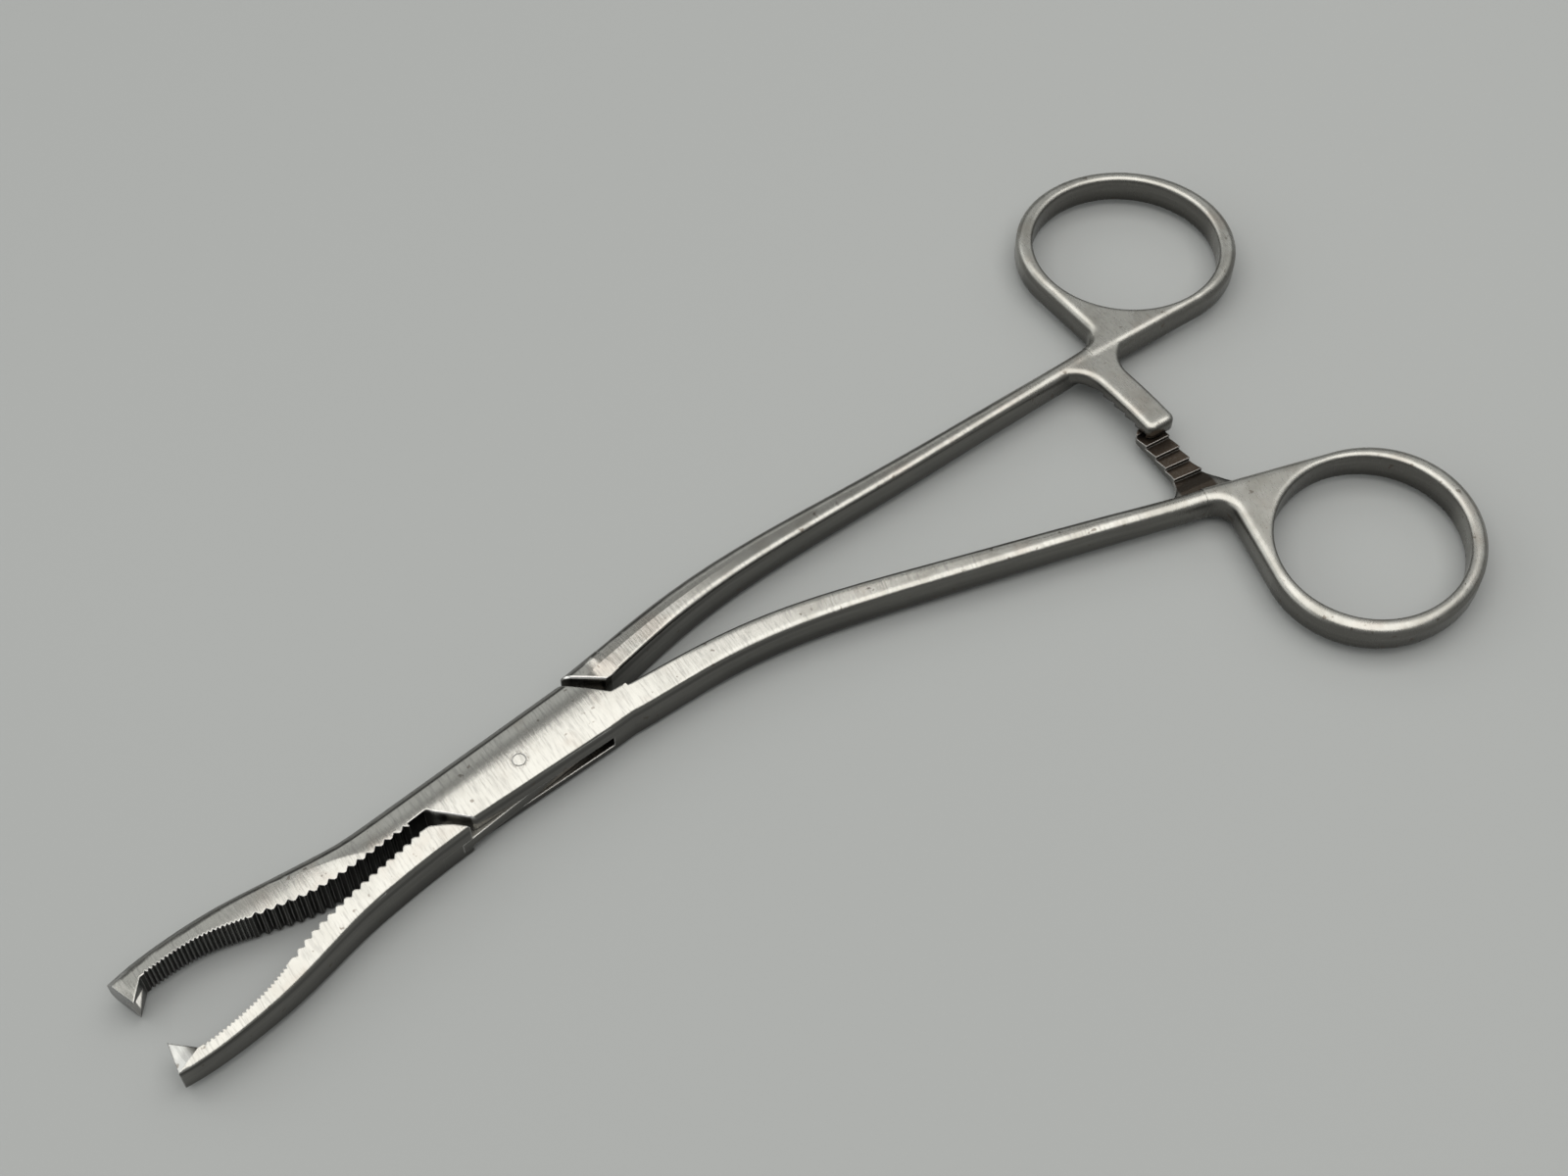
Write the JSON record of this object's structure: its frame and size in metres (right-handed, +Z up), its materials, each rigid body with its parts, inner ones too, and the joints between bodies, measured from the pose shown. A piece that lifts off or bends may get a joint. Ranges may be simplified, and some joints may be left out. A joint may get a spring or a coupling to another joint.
{
  "type": "cartilage clamp",
  "caption": "Box-lock surgical clamp with bowed serrated jaws, interlocking toothed tips, a ratchet between the shanks and oval finger rings.",
  "frame": {"origin": "on the pivot axis, at the underside of the lock, where the clamp lies on a table", "axes": "+X along the lock towards the finger rings, +Y towards the far jaw, +Z up along the pivot"},
  "size_m": [0.1969, 0.0921, 0.0066],
  "materials": {
    "box_steel": "satin stainless steel with fine grinding lines",
    "tenon_steel": "satin stainless steel with fine grinding lines",
    "pin_steel": "ground flush with the lock faces"
  },
  "bodies": {
    "box_body": {"box_half": "box_steel", "pivot_pin": "pin_steel"},
    "tenon_body": {"tenon_half": "tenon_steel"}
  },
  "joints": [
    {"name": "lock_pivot", "type": "hinge", "parent": "box_body", "child": "tenon_body", "pos_m": [0, 0, 0], "axis": [0, 0, 1], "range_deg": [-6.3, 40]}
  ]
}
